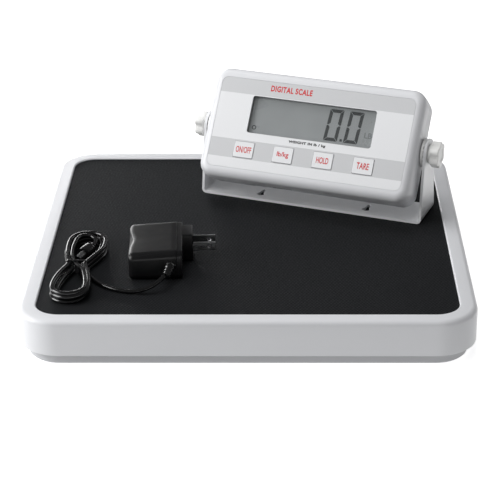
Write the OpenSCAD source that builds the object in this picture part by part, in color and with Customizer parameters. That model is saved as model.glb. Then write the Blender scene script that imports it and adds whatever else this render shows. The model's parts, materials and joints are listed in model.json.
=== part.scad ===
// Low bench platform scale with a tilting display on a U-shaped stand, and its mains adapter.
// The origin is the middle of the platform's footprint at floor level. +X is to the user's right,
// +Y is away from the user and +Z is up. The platform stands on four load-cell feet, the stand
// rests on the weighing surface, and so does the adapter with its cord folded into a hank.

/* [Platform] */
// Overall width of the platform
platform_w = 320; // [300:1:360]
// Overall depth of the platform
platform_d = 311; // [290:1:350]
// Height of the weighing surface above the floor
deck_h = 36.5; // [35:0.5:45]
// Width of the cover's rim, from its outer face to the mat
rim_w = 12.5; // [10:0.5:14]
// Radius of the platform's outer corners
corner_r = 30; // [26:1:36]
// Thickness of the anti-slip mat
mat_t = 1.5; // [1:0.25:2]
// How far the cover's rim stands above the mat
rim_rise = 1.2; // [0.5:0.1:2]
// How far the base tray's wall is set back under the cover
tray_inset = 6; // [4:0.5:8]
// Height of the gap between the floor and the base tray
tray_gap = 2; // [1.5:0.25:3]

/* [Stand] */
// Outside width of the U-shaped stand
stand_w = 181.4; // [178:0.2:190]
// Depth of the stand's base plate
stand_d = 36.3; // [32:0.1:44]
// Height of the tilt axis above the weighing surface
pivot_h = 51.6; // [50:0.2:60]
// Place of the stand's middle on the platform, from left to right
stand_x = 51.6; // [40:0.2:56]
// Place of the stand's middle on the platform, from front to back
stand_y = 57.7; // [50:0.1:65]
// Turn of the stand about its upright axis
stand_turn = -20.6; // [-24:0.2:-14]
// Thickness of the stand's sheet steel
sheet_t = 2; // [1.5:0.1:2.5]

/* [Display unit] */
// Width of the display unit's case
case_w = 171; // [165:0.5:172]
// Height of the case, measured along its face
case_h = 87.5; // [84:0.5:90]
// Lean of the face back from upright at rest
face_lean = 33.5; // [15:0.5:45]
// Distance from the tilt axis to the front of the face
face_z = 21.1; // [20:0.1:23]
// Distance from the tilt axis to the back of the case
back_z = 16.4; // [15.5:0.1:18]
// Radius of the case's corners, seen from the front
case_r = 11; // [10:0.5:13]
// Width of a key
key_w = 16; // [14:0.5:18]
// Height of a key
key_h = 12.5; // [10:0.5:13]
// How far a key travels
key_travel = 0.5; // [0.3:0.1:0.5]

/* [Adapter] */
// Length of the adapter's main body along its wall face
adapter_l = 57.5; // [50:0.5:65]
// How far the adapter's main body stands off the wall, without the blade block
adapter_w = 38; // [34:0.5:44]
// Thickness of the adapter
adapter_t = 22; // [21:0.5:26]
// Diameter of the low-voltage cord
cord_d = 3.2; // [2.8:0.1:3.6]

/* [Hidden] */
PLATFORM = ["top_cover", "anti_slip_mat", "deck_plate", "deck_channels", "base_tray",
    "junction_board", "platform_socket", "tray_screws"];
CORNERS = ["load_cell_", "cell_holder_", "foot_"];
DISPLAY = ["front_case", "rear_case", "overlay_panel", "display_window", "lcd_module",
    "main_board", "tact_switches", "buzzer", "dc_jack", "cable_jack", "case_screws",
    "battery_contacts", "battery_door"];
PIVOTS = ["pivot_insert_", "toothed_washer_", "knob_stud_", "tilt_knob_"];
KEYS = ["key_on_off", "key_unit", "key_hold", "key_tare"];
SIDES = ["left", "right"];
ADAPTER = ["adapter_shell", "adapter_cap", "adapter_blades", "adapter_board", "transformer",
    "strain_relief", "adapter_cord", "cord_hank", "cord_tie", "dc_plug", "dc_plug_barrel"];

// Number of segments asked for on round surfaces
$fn = 64;
// Lets a cutter run past the face it cuts
eps = 0.5;

// Platform: heights above the floor, and distances outward from the corner centres
span_x = platform_w - 2 * corner_r;
span_y = platform_d - 2 * corner_r;
cover_t = 2.5;
skirt_z = tray_gap + 9.5;
rim_z = deck_h + rim_rise;
rim_round = 4;
rim_chamfer = 0.8;
mat_r = corner_r - rim_w;
web_z = deck_h - mat_t - cover_t;
tray_r = corner_r - tray_inset;
tray_t = 2.5;
tray_flange_z = skirt_z + 2.5;
plate_t = 2;
plate_z = web_z - plate_t;
plate_r = 22;

// Corner assemblies: one load cell, its holder and its foot near each corner
cell_x = platform_w / 2 - 42;
cell_y = platform_d / 2 - 42;
CELL_AT = [[-cell_x, -cell_y], [cell_x, -cell_y], [cell_x, cell_y], [-cell_x, cell_y]];
cell_w = 34;
cell_t = 3;
cell_z = 17;
holder_w = 44;
holder_z = 16;
foot_r = 15;
foot_hole_r = foot_r + 1;
foot_pad_h = 5;
foot_stem_r = 7;
channel_w = 24;
channel_h = 12;
channel_l = 190;
TRAY_SCREWS = [[-60, -100], [60, -100], [-60, 100], [60, 100], [-125, 0], [125, 0], [0, 0]];
boss_r = 4.5;
socket_x = -70;
socket_w = 16;
socket_h = 13;
socket_l = 17;
socket_z = 16.5;

// Stand, in its own frame: middle of the base plate's underside
bend_r = 3.5;
ear_r = 11.5;
ear_in = stand_w / 2 - sheet_t;
pivot_hole_r = 3;
keyhole_x = 43.9;
keyhole_y = -8.8;
keyhole_r = 3.1;
slot_r = 1.6;
slot_l = 7.2;

// Display unit, in its own frame: +X right, +Y up the face, +Z out of the face, zero on the tilt axis
case_t = 2.2;
part_z = 7;
front_round = 6.5;
back_round = 8;
back_draft = 1.1;
case_sx = case_w - 2 * case_r;
case_sy = case_h - 2 * case_r;
overlay_w = 157.8;
overlay_h = 71.6;
overlay_r = 5;
overlay_t = 0.5;
window_w = 100.8;
window_h = 29.4;
window_at = [-0.5, 8.3];
window_sink = 0.6;
key_y = -20.6;
KEY_X = [-50.1, -17.75, 14.6, 47];
key_gap = 0.3;
key_proud = 0.45;
board_z = 4.4;
board_t = 1.6;
case_boss_r = 4;
BOSSES = [for (x = [-75, 75], y = [-33.5, 33.5]) [x, y]];
recess_x0 = -46;
recess_x1 = 22;
recess_d = 2.5;
recess_z = 4;
jack_y = -case_h / 2 + recess_d;
cable_jack_x = -24;
dc_jack_x = 2;
jack_z = -5.5;
bay_w = 55;
bay_h = 44;
bay_d = 11.5;
bay_y = 2;
door_w = 62;
door_h = 51;
door_t = 1.8;
door_gap = 0.3;

// Pivots: distances from the display unit's middle along the tilt axis
insert_x = 71;
insert_r = 4;
stud_r = 2.95;
pad_x = case_w / 2 + 0.7;
pad_r = 6.8;
washer_gap = 0.2;
knob_gap = 0.2;
knob_x = stand_w / 2 + knob_gap;
neck_l = 2;
neck_r = 7.5;
grip_l = 7;
lobes = 6;
lobe_r = 3.1;
lobe_at = 7.4;
stud_in = 4;

// Adapter, in its own frame: middle of the main body's footprint on the mat
adapter_at = [-67.2, -59.8];
adapter_turn = 2.5;
adapter_r = 4;
adapter_wall = 2;
adapter_fall = 2;
cap_l = 4;
block_l = 7.5;
block_w = 19.5;
block_y = 11.2;
blade_pitch = 12.7;
blade_w = 6.35;
blade_t = 1.5;
blade_l = 16.5;
relief_at = [10.5, -adapter_l / 2];
relief_z = 11.2;
relief_l = 13;

// Cord: middle of its round section, from the strain relief to the hank, above the floor
cord_z = deck_h + cord_d / 2;
CORD = [[-59.4, -101.2, 46.2], [-61.5, -104.2, 44.9], [-65, -107, 43], [-70, -109.3, 40.8],
    [-76, -110.2, 39.1], [-83, -109.6, cord_z], [-90, -107.6, cord_z], [-97.5, -104, cord_z],
    [-104, -98.8, cord_z], [-109, -92.8, cord_z], [-113, -86, cord_z], [-116, -80.5, cord_z]];
cord_sides = 8;
hank_waist = [-124, -76.5];
hank_waist_r = 7.5;
HANK_ENDS = [[-119.6, -36], [-125, -113.5]];
hank_end_r = 14.6;
hank_h = 9.6;
plug_from = [-115.6, -40];
plug_to = [-121.4, -54.5];
plug_r = 5;
barrel_r = 2.75;
barrel_l = 9.5;

// ---- Helpers ----

function arc(cx, cy, r, a0, a1, n = 6) =
    [for (i = [0:n]) let (a = a0 + (a1 - a0) * i / n) [cx + r * cos(a), cy + r * sin(a)]];

// Flat outline of radius r round a rectangle of corner centres w by d
module pad(w, d, r) {
    square([w, d + 2 * r], center = true);
    square([w + 2 * r, d], center = true);
    for (x = [-w / 2, w / 2], y = [-d / 2, d / 2]) translate([x, y]) circle(r);
}

// Slab of that outline between two heights
module slab(w, d, r, z0, z1) {
    translate([0, 0, z0]) linear_extrude(z1 - z0) pad(w, d, r);
}

// Profile of [outward, up] points carried round the corner centres
module rim(w, d, profile) {
    for (i = [0:3]) {
        side = i % 2 == 0 ? [w, d] : [d, w];
        rotate([0, 0, 90 * i]) {
            translate([side[0] / 2, 0, 0]) rotate([90, 0, 0])
                linear_extrude(side[1], center = true) polygon(profile);
            translate([side[0] / 2, side[1] / 2, 0])
                rotate_extrude(angle = 90) polygon(profile);
        }
    }
}

module block(size, at) {
    translate([at[0] - size[0] / 2, at[1] - size[1] / 2, at[2]]) cube(size);
}

module rod(r, z0, z1, at = [0, 0]) {
    translate([at[0], at[1], z0]) cylinder(r = r, h = z1 - z0);
}

// Rod along +X
module rod_x(r, x0, x1) {
    translate([x0, 0, 0]) rotate([0, 90, 0]) cylinder(r = r, h = x1 - x0);
}

// Puts children in the stand's frame, and in the display unit's
module on_stand() {
    translate([stand_x, stand_y, deck_h]) rotate([0, 0, stand_turn]) children();
}

module on_display() {
    on_stand() translate([0, 0, pivot_h]) rotate([90 - face_lean, 0, 0]) children();
}

// Puts children, made for the right-hand side, on side s
module on_side(s) {
    on_display() mirror([s == "left" ? 1 : 0, 0, 0]) children();
}

module on_adapter() {
    translate([adapter_at[0], adapter_at[1], deck_h]) rotate([0, 0, adapter_turn]) children();
}

// ---- Platform ----

module top_cover() {
    color([0.93, 0.93, 0.94]) difference() {
        union() {
            rim(span_x, span_y, concat(
                [[corner_r - cover_t, skirt_z], [corner_r, skirt_z]],
                arc(corner_r - rim_round, rim_z - rim_round, rim_round, 0, 90),
                [[mat_r + rim_chamfer, rim_z], [mat_r, rim_z - rim_chamfer], [mat_r, web_z],
                 [mat_r + cover_t, web_z], [mat_r + cover_t, rim_z - cover_t],
                 [corner_r - rim_round, rim_z - cover_t], [corner_r - cover_t, rim_z - rim_round]]));
            slab(span_x, span_y, mat_r + 0.5, web_z, web_z + cover_t);
        }
        translate([socket_x - socket_w / 2 - 0.1, platform_d / 2 - 10, socket_z - 0.1])
            cube([socket_w + 0.2, 20, socket_h + 0.2]);
    }
}

module anti_slip_mat() {
    color([0.12, 0.12, 0.13]) slab(span_x, span_y, mat_r - 0.2, deck_h - mat_t, deck_h);
}

module deck_plate() {
    color([0.62, 0.64, 0.66]) slab(span_x, span_y, plate_r, plate_z, web_z);
}

// Two folded steel channels under the deck plate, open side up
module deck_channels() {
    color([0.55, 0.57, 0.6]) for (y = [-60, 60]) difference() {
        block([channel_l, channel_w, channel_h], [0, y, plate_z - channel_h]);
        block([channel_l + 2 * eps, channel_w - 4, channel_h], [0, y, plate_z - channel_h + 2]);
    }
}

module base_tray() {
    color([0.85, 0.85, 0.87]) difference() {
        union() {
            rim(span_x, span_y, [[tray_r - 4, tray_gap], [tray_r - 1.5, tray_gap],
                [tray_r, tray_gap + 1.5], [tray_r, tray_flange_z],
                [corner_r - cover_t - 0.3, tray_flange_z], [corner_r - cover_t - 0.3, tray_flange_z + 2],
                [tray_r - tray_t, tray_flange_z + 2], [tray_r - tray_t, tray_gap + tray_t],
                [tray_r - 4, tray_gap + tray_t]]);
            slab(span_x, span_y, tray_r - 3.5, tray_gap, tray_gap + tray_t);
            for (p = TRAY_SCREWS) rod(boss_r, tray_gap + 1, plate_z, p);
            for (p = CELL_AT) rod(foot_hole_r + 2, tray_gap + 1, tray_gap + 6, p);
        }
        for (p = CELL_AT) rod(foot_hole_r, tray_gap - eps, tray_gap + 7, p);
        for (p = TRAY_SCREWS) {
            rod(1.7, tray_gap - eps, plate_z + eps, p);
            rod(3.6, tray_gap - eps, tray_gap + 2.2, p);
        }
    }
}

module tray_screws() {
    color([0.6, 0.61, 0.63]) for (p = TRAY_SCREWS) {
        rod(3.3, tray_gap + 0.4, tray_gap + 2.2, p);
        rod(1.6, tray_gap + 2, tray_gap + 14, p);
    }
}

// Flat spring plate with an E-shaped cut: the outer frame is held, the middle tongue carries the foot
module load_cell(i) {
    color([0.7, 0.71, 0.73]) translate([CELL_AT[i][0], CELL_AT[i][1], cell_z]) {
        difference() {
            block([cell_w, cell_w, cell_t], [0, 0, 0]);
            for (x = [-9.5, 9.5]) block([2, 24, cell_t + 2 * eps], [x, 0, -eps]);
            block([19, 2, cell_t + 2 * eps], [0, 11, -eps]);
        }
    }
}

module cell_holder(i) {
    top = cell_z + cell_t;
    color([0.3, 0.31, 0.33]) difference() {
        block([holder_w, holder_w, plate_z - holder_z], concat(CELL_AT[i], holder_z));
        block([cell_w + 0.4, cell_w + 0.4, top - holder_z + eps], concat(CELL_AT[i], holder_z - eps));
        rod(12, top - eps, top + 4, CELL_AT[i]);
    }
}

module foot(i) {
    color([0.14, 0.14, 0.15]) {
        rod(foot_r, 0.8, foot_pad_h, CELL_AT[i]);
        rod(foot_r - 0.8, 0, 0.8, CELL_AT[i]);
        rod(foot_stem_r, foot_pad_h - eps, cell_z, CELL_AT[i]);
    }
}

module junction_board() {
    at = [socket_x + 40, platform_d / 2 - 55];
    top = plate_z - 3;
    color([0.1, 0.4, 0.25]) {
        block([46, 28, 1.6], [at[0], at[1], top - 1.6]);
        for (x = [-19, 19], y = [-10, 10]) rod(2, top, plate_z, at + [x, y]);
        block([12, 7, 5], [at[0], at[1] + 8, top - 6.6]);
    }
}

module platform_socket() {
    back = platform_d / 2;
    color([0.1, 0.1, 0.11]) difference() {
        block([socket_w, socket_l, socket_h], [socket_x, back - socket_l / 2, socket_z]);
        block([12, 12, 8.5], [socket_x, back - 6 + eps, socket_z + 2]);
        block([4.5, 12, 3], [socket_x, back - 6 + eps, socket_z + 9]);
    }
}

// ---- Stand ----

module bracket() {
    reach = stand_w / 2;
    inner = bend_r - sheet_t;
    top = pivot_h + ear_r;
    bend = reach - bend_r;
    color([0.9, 0.9, 0.91]) on_stand() difference() {
        intersection() {
            rotate([90, 0, 0]) linear_extrude(stand_d, center = true) polygon(concat(
                [[-reach, top]], arc(-bend, bend_r, bend_r, 180, 270), arc(bend, bend_r, bend_r, 270, 360),
                [[reach, top], [ear_in, top]], arc(bend, bend_r, inner, 360, 270),
                arc(-bend, bend_r, inner, 270, 180), [[-ear_in, top]]));
            rotate([90, 0, 90]) linear_extrude(stand_w + 2, center = true) {
                polygon([[-stand_d / 2, -1], [stand_d / 2, -1], [stand_d / 2, bend_r],
                    [ear_r, pivot_h + 1.2], [-ear_r, pivot_h + 1.2], [-stand_d / 2, bend_r]]);
                translate([0, pivot_h]) circle(ear_r);
            }
        }
        translate([0, 0, pivot_h]) rod_x(pivot_hole_r, -reach - 1, reach + 1);
        for (x = [-keyhole_x, keyhole_x]) {
            rod(keyhole_r, -eps, sheet_t + eps, [x, keyhole_y]);
            rod(slot_r, -eps, sheet_t + eps, [x, keyhole_y + slot_l]);
            block([2 * slot_r, slot_l, sheet_t + 2 * eps], [x, keyhole_y + slot_l / 2, -eps]);
        }
    }
}

// ---- Display unit ----

module window_cut(grow, z0, z1) {
    block([window_w + 2 * grow, window_h + 2 * grow, z1 - z0], [window_at[0], window_at[1], z0]);
}

module key_cuts(grow, z0, z1) {
    for (x = KEY_X) block([key_w + 2 * grow, key_h + 2 * grow, z1 - z0], [x, key_y, z0]);
}

module front_case() {
    inner_z = face_z - case_t;
    color([0.93, 0.93, 0.94]) on_display() difference() {
        union() {
            rim(case_sx, case_sy, concat(
                [[case_r, part_z]],
                arc(case_r - front_round, face_z - front_round, front_round, 0, 90),
                [[case_r - front_round - 1, face_z], [case_r - front_round - 1, inner_z]],
                arc(case_r - front_round, face_z - front_round, front_round - case_t, 90, 0),
                [[case_r - case_t, part_z]]));
            slab(case_sx, case_sy, case_r - front_round - 0.5, inner_z, face_z);
            for (p = BOSSES) rod(case_boss_r, part_z, inner_z + 1, p);
        }
        slab(overlay_w - 2 * overlay_r, overlay_h - 2 * overlay_r, overlay_r + 0.05,
            face_z - overlay_t, face_z + eps);
        window_cut(0.1, inner_z - eps, face_z + eps);
        key_cuts(key_gap, inner_z - eps, face_z + eps);
        for (p = BOSSES) rod(1.3, part_z - eps, part_z + 10, p);
    }
}

module overlay_panel() {
    color([0.8, 0.81, 0.82]) on_display() difference() {
        slab(overlay_w - 2 * overlay_r, overlay_h - 2 * overlay_r, overlay_r,
            face_z - overlay_t, face_z);
        window_cut(0, face_z - 1, face_z + 1);
        key_cuts(key_gap, face_z - 1, face_z + 1);
    }
}

module display_window() {
    back = face_z - case_t;
    color([0.7, 0.75, 0.75, 0.4]) on_display() {
        window_cut(-0.05, back - 0.1, face_z - window_sink);
        window_cut(1.5, back - 1.2, back);
    }
}

module lcd_module() {
    top = face_z - case_t - 1.4;
    color([0.5, 0.53, 0.52]) on_display() {
        window_cut(2, top - 4, top);
        for (y = [-15, 15])
            block([100, 2, top - 4 - board_z - board_t], [window_at[0], window_at[1] + y, board_z + board_t]);
    }
}

module main_board() {
    color([0.1, 0.4, 0.25]) on_display() {
        block([140, 58, board_t], [0, -1, board_z]);
        block([12, 12, 1.8], [-20, -20, board_z - 1.8]);
        block([10, 14, 3], [50, 10, board_z - 3]);
    }
}

module tact_switches() {
    z = board_z + board_t;
    color([0.2, 0.2, 0.22]) on_display() for (x = KEY_X) {
        block([6, 6, 3.5], [x, key_y, z]);
        rod(1.7, z + 3.4, z + 4.3, [x, key_y]);
    }
}

module buzzer() {
    color([0.1, 0.1, 0.1]) on_display() difference() {
        rod(6, board_z + board_t, board_z + board_t + 8.5, [63, 12]);
        rod(1, board_z + board_t + 6, board_z + board_t + 9, [63, 12]);
    }
}

module rear_case() {
    inner_z = -back_z + case_t;
    bend_z = -back_z + back_round;
    bend_x = case_r - back_draft - back_round;
    liner_y = jack_y + case_t;
    color([0.9, 0.9, 0.91]) on_display() difference() {
        union() {
            difference() {
                union() {
                    rim(case_sx, case_sy, concat(
                        [[case_r, part_z]],
                        arc(bend_x, bend_z, back_round, 0, -90),
                        [[bend_x - 1, -back_z], [bend_x - 1, inner_z]],
                        arc(bend_x, bend_z, back_round - case_t, -90, 0),
                        [[case_r - case_t, part_z]]));
                    slab(case_sx, case_sy, bend_x - 0.5, -back_z, inner_z);
                }
                // Shallow recess for the sockets along the lower back edge
                translate([0, jack_y, 0]) rotate([90, 0, 0]) linear_extrude(10) polygon([
                    [recess_x0, -back_z - 1], [recess_x1, -back_z - 1],
                    [recess_x1, recess_z - 4], [recess_x1 - 5, recess_z],
                    [recess_x0 + 5, recess_z], [recess_x0, recess_z - 4]]);
            }
            block([recess_x1 - recess_x0 + 4, case_t, recess_z + 2 + back_z],
                [(recess_x0 + recess_x1) / 2, jack_y + case_t / 2, -back_z]);
            // Walls of the battery bay
            block([door_w + 4, door_h + 4, case_t], [0, bay_y, -back_z + 1]);
            block([bay_w + 3, bay_h + 3, bay_d + 1.5], [0, bay_y, -back_z + case_t - 0.4]);
            for (p = BOSSES) rod(case_boss_r, inner_z - 1, part_z, p);
            for (s = [0, 1]) mirror([s, 0, 0]) {
                rod_x(6.5, insert_x, case_w / 2 - 1);
                rod_x(pad_r, case_w / 2 - 2.5, pad_x);
            }
        }
        block([bay_w, bay_h, bay_d + 3], [0, bay_y, -back_z - 1]);
        block([door_w + 2 * door_gap, door_h + 2 * door_gap, door_t + 1.1], [0, bay_y, -back_z - 1]);
        for (s = [0, 1]) mirror([s, 0, 0]) rod_x(insert_r, insert_x - 1, pad_x + 1);
        for (p = BOSSES) {
            rod(1.8, -back_z - 1, part_z + 1, p);
            rod(3.3, -back_z - 1, inner_z + 0.6, p);
        }
        block([16.2, 8, 13.2], [cable_jack_x, jack_y, jack_z - 6.6]);
        translate([dc_jack_x, jack_y + 4, jack_z]) rotate([90, 0, 0]) cylinder(r = 4.3, h = 8);
    }
}

module case_screws() {
    head = -back_z + case_t + 0.6;
    color([0.6, 0.61, 0.63]) on_display() for (p = BOSSES) {
        rod(3, head - 2, head, p);
        rod(1.25, head - eps, part_z + 9, p);
    }
}

module cable_jack() {
    color([0.1, 0.1, 0.11]) on_display() difference() {
        block([16, 14, 13], [cable_jack_x, jack_y + 7, jack_z - 6.5]);
        block([12, 22, 8.5], [cable_jack_x, jack_y, jack_z - 4.5]);
    }
}

module dc_jack() {
    color([0.1, 0.1, 0.11]) on_display() {
        difference() {
            union() {
                block([9, 11, 11], [dc_jack_x, jack_y + 8, jack_z - 5.5]);
                translate([dc_jack_x, jack_y + 4, jack_z]) rotate([90, 0, 0]) cylinder(r = 4.2, h = 4);
            }
            translate([dc_jack_x, jack_y + 10, jack_z]) rotate([90, 0, 0]) cylinder(r = 2.9, h = 11);
        }
        translate([dc_jack_x, jack_y + 11, jack_z]) rotate([90, 0, 0]) cylinder(r = 1, h = 10.5);
    }
}

module battery_contacts() {
    z = -back_z + 3;
    color([0.75, 0.76, 0.78]) on_display() for (s = [-1, 1], k = [0:3]) {
        y = bay_y - 16.5 + 11 * k;
        block([0.4, 9, 8.5], [s * (bay_w / 2 - 0.3), y, z]);
        if ((k % 2 == 0) == (s > 0))
            translate([s * (bay_w / 2 - 5), y, z + 4.2]) rotate([0, 90, 0]) cylinder(r = 2.8, h = 9, center = true);
        else
            translate([s * (bay_w / 2 - 1), y, z + 4.2]) rotate([0, 90, 0]) cylinder(r = 1.8, h = 1.4, center = true);
    }
}

module battery_door() {
    color([0.9, 0.9, 0.91]) on_display() {
        difference() {
            block([door_w, door_h, door_t], [0, bay_y, -back_z]);
            block([16, 5, 1], [0, bay_y + door_h / 2 - 5, -back_z - 0.2]);
        }
        for (k = [0:2]) block([14, 0.9, 0.9], [0, bay_y + door_h / 2 - 12 - 2.4 * k, -back_z - 0.5]);
    }
}

// A key cap with a retaining flange behind the face and a stem over its switch
module key(i) {
    color([0.94, 0.94, 0.95]) on_display() {
        block([key_w, key_h, face_z + key_proud - 17.5], [KEY_X[i], key_y, 17.5]);
        block([key_w + 2.5, key_h + 2.5, 1.4], [KEY_X[i], key_y, 17.2]);
        rod(2.5, board_z + board_t + 4.3 + key_travel + key_gap, 17.5, [KEY_X[i], key_y]);
    }
}

// ---- Pivots and knobs, drawn for the right-hand side ----

module pivot_insert(s) {
    color([0.75, 0.6, 0.3]) on_side(s) difference() {
        rod_x(insert_r, insert_x, pad_x - 0.2);
        rod_x(stud_r + 0.05, insert_x - 1, pad_x + 1);
    }
}

// Ring with radial teeth that grips the ear when the knob is tightened
module toothed_washer(s) {
    out = ear_in - washer_gap;
    color([0.9, 0.9, 0.91]) on_side(s) difference() {
        union() {
            rod_x(ear_r - 0.5, pad_x, out - 0.5);
            for (k = [0:17]) rotate([20 * k, 0, 0]) translate([pad_x + 0.5, -0.7, 5])
                cube([out - pad_x - 0.5, 1.4, 5.5]);
        }
        rod_x(stud_r + 0.1, pad_x - 1, out + 1);
    }
}

module knob_stud(s) {
    color([0.7, 0.71, 0.73]) on_side(s) rod_x(stud_r, insert_x + 2, knob_x + stud_in);
}

module tilt_knob(s) {
    grip_x = knob_x + neck_l;
    color([0.88, 0.88, 0.87]) on_side(s) difference() {
        union() {
            rod_x(neck_r, knob_x, grip_x + 1);
            rod_x(lobe_at + 1, grip_x, grip_x + grip_l);
            for (k = [0:lobes - 1]) rotate([360 / lobes * k, 0, 0]) translate([0, 0, lobe_at])
                rod_x(lobe_r, grip_x, grip_x + grip_l);
        }
        rod_x(stud_r + 0.05, knob_x - 1, knob_x + stud_in);
    }
}

// ---- Adapter, lying on the mat with its blades to the right ----

// Main body: the top falls away slightly from the blades to the far end
module adapter_body(inset, x0, x1) {
    half = adapter_l / 2 - inset;
    drop = adapter_fall * (x1 - x0) / adapter_w;
    intersection() {
        translate([0, 0, inset]) linear_extrude(adapter_t - 2 * inset)
            pad(adapter_w - 2 * adapter_r, adapter_l - 2 * adapter_r, adapter_r - inset);
        translate([0, half, 0]) rotate([90, 0, 0]) linear_extrude(2 * half) polygon([
            [x0, inset], [x1, inset], [x1, adapter_t - inset - adapter_fall * (adapter_w / 2 - x1) / adapter_w],
            [x0, adapter_t - inset - adapter_fall * (adapter_w / 2 - x0) / adapter_w]]);
    }
}

module adapter_shell() {
    x1 = adapter_w / 2 - cap_l;
    color([0.06, 0.06, 0.07]) on_adapter() difference() {
        adapter_body(0, -adapter_w / 2, x1);
        adapter_body(adapter_wall, -adapter_w / 2 + adapter_wall, x1 + eps);
    }
}

module adapter_cap() {
    x0 = adapter_w / 2 - cap_l;
    color([0.06, 0.06, 0.07]) on_adapter() difference() {
        union() {
            adapter_body(0, x0, adapter_w / 2);
            block([block_l + 3, block_w, adapter_t - 1], [adapter_w / 2 + block_l / 2 - 1.5, block_y, 0.5]);
        }
        translate([-2, 0, 0]) adapter_body(adapter_wall, x0, adapter_w / 2);
        for (y = [-1, 1]) block([20, blade_t, blade_w],
            [adapter_w / 2 + 4, block_y + y * blade_pitch / 2, adapter_t / 2 - blade_w / 2]);
    }
}

module adapter_blades() {
    root = adapter_w / 2 + block_l;
    color([0.75, 0.76, 0.77]) on_adapter() for (y = [-1, 1]) difference() {
        block([blade_l + 12, blade_t, blade_w],
            [root + (blade_l - 12) / 2, block_y + y * blade_pitch / 2, adapter_t / 2 - blade_w / 2]);
        translate([root + blade_l - 4.5, block_y, adapter_t / 2]) rotate([90, 0, 0])
            cylinder(r = 1.55, h = 20, center = true);
    }
}

module adapter_board() {
    color([0.1, 0.4, 0.25]) on_adapter() {
        block([26, 50, 1.6], [-3, 0, 4]);
        block([10, 8, 6], [-8, 19, 5.6]);
        rod(4, 5.6, 15, [-8, -19]);
    }
}

module transformer() {
    color([0.6, 0.5, 0.15]) on_adapter() {
        block([18, 20, 3], [-5, 0, 5.6]);
        block([14, 12, 8], [-5, 0, 8]);
        block([18, 20, 2.5], [-5, 0, 15]);
    }
}

// Ribbed sleeve that leans to the left and down as it leaves the housing
module strain_relief() {
    color([0.05, 0.05, 0.06]) on_adapter() translate([relief_at[0], relief_at[1], relief_z])
        rotate([90 + 7, 0, -13]) {
            translate([0, 0, -1.5]) cylinder(r = 4, h = 2.5);
            cylinder(r1 = 3.2, r2 = 2.2, h = relief_l);
            for (k = [0:2]) translate([0, 0, 3 + 3.4 * k]) cylinder(r = 3.6 - 0.3 * k, h = 1.5);
        }
}

// ---- Cord ----

function unit(v) = v / norm(v);

// Point on a smooth line through the route's points, for 0 <= t <= number of stretches
function along(p, t) = let (n = len(p) - 1, i = min(floor(t), n - 1), u = t - i,
    a = p[max(i - 1, 0)], b = p[i], c = p[i + 1], d = p[min(i + 2, n)])
    0.5 * (2 * b + (c - a) * u + (2 * a - 5 * b + 4 * c - d) * u * u
        + (3 * b - a - 3 * c + d) * u * u * u);

// Round tube swept along a route, one ring of points to each step
module tube(route, r, steps, sides) {
    n = len(route) - 1;
    mids = [for (i = [0:n * steps]) along(route, i / steps)];
    last = len(mids) - 1;
    rings = [for (i = [0:last]) let (
        way = unit(mids[min(i + 1, last)] - mids[max(i - 1, 0)]),
        side = unit(cross(way, [0, 0, 1])), up = cross(side, way))
        [for (k = [0:sides - 1]) let (a = 360 * (k + 0.5) / sides)
            mids[i] + r * (cos(a) * side + sin(a) * up)]];
    polyhedron(
        points = [for (ring = rings, p = ring) p],
        faces = concat(
            [[for (k = [0:sides - 1]) sides - 1 - k]],
            [for (i = [0:last - 1], k = [0:sides - 1]) let (m = (k + 1) % sides)
                [i * sides + k, i * sides + m, (i + 1) * sides + m, (i + 1) * sides + k]],
            [[for (k = [0:sides - 1]) last * sides + k]]));
}

module adapter_cord() {
    color([0.05, 0.05, 0.06]) tube(CORD, cord_d / 2, 3, cord_sides);
}

// Outline that widens from radius ra at a to radius rb at b, with round ends
module taper(a, b, ra, rb) {
    across = unit([a[1] - b[1], b[0] - a[0]]);
    polygon([a + ra * across, b + rb * across, b - rb * across, a - ra * across]);
    translate(a) circle(ra);
    translate(b) circle(rb);
}

module along_plug(r, from, to) {
    way = unit(plug_to - plug_from);
    start = plug_from + from * way;
    translate([start[0], start[1], deck_h + plug_r]) rotate([0, 90, atan2(way[1], way[0])])
        cylinder(r = r, h = to - from);
}

plug_l = norm(plug_to - plug_from);

// Outer shape of the folded cord, tied at its waist, with a pocket for the plug
module cord_hank() {
    color([0.05, 0.05, 0.06]) difference() {
        for (end = HANK_ENDS) translate([0, 0, deck_h]) linear_extrude(hank_h)
            taper(hank_waist, end, hank_waist_r, hank_end_r);
        along_plug(plug_r + 0.3, -1, plug_l + barrel_l + 1);
    }
}

// Twisted tie: a strap over the waist with two legs down to the mat
module cord_tie() {
    t = 1;
    across = hank_waist_r + 0.1;
    color([0.05, 0.05, 0.06]) translate([hank_waist[0], hank_waist[1] + 1, deck_h]) rotate([0, 0, -4]) {
        block([2 * across + 2 * t, 3, t], [0, 0, hank_h]);
        for (s = [-1, 1]) block([t, 3, hank_h + t], [s * (across + t / 2), 0, 0]);
    }
}

module dc_plug() {
    color([0.05, 0.05, 0.06]) {
        along_plug(plug_r, 3, plug_l);
        along_plug(3, 0, 3.5);
    }
}

module dc_plug_barrel() {
    color([0.75, 0.76, 0.78]) difference() {
        along_plug(barrel_r, plug_l - 3, plug_l + barrel_l);
        along_plug(1.25, plug_l, plug_l + barrel_l + 1);
    }
}

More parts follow.
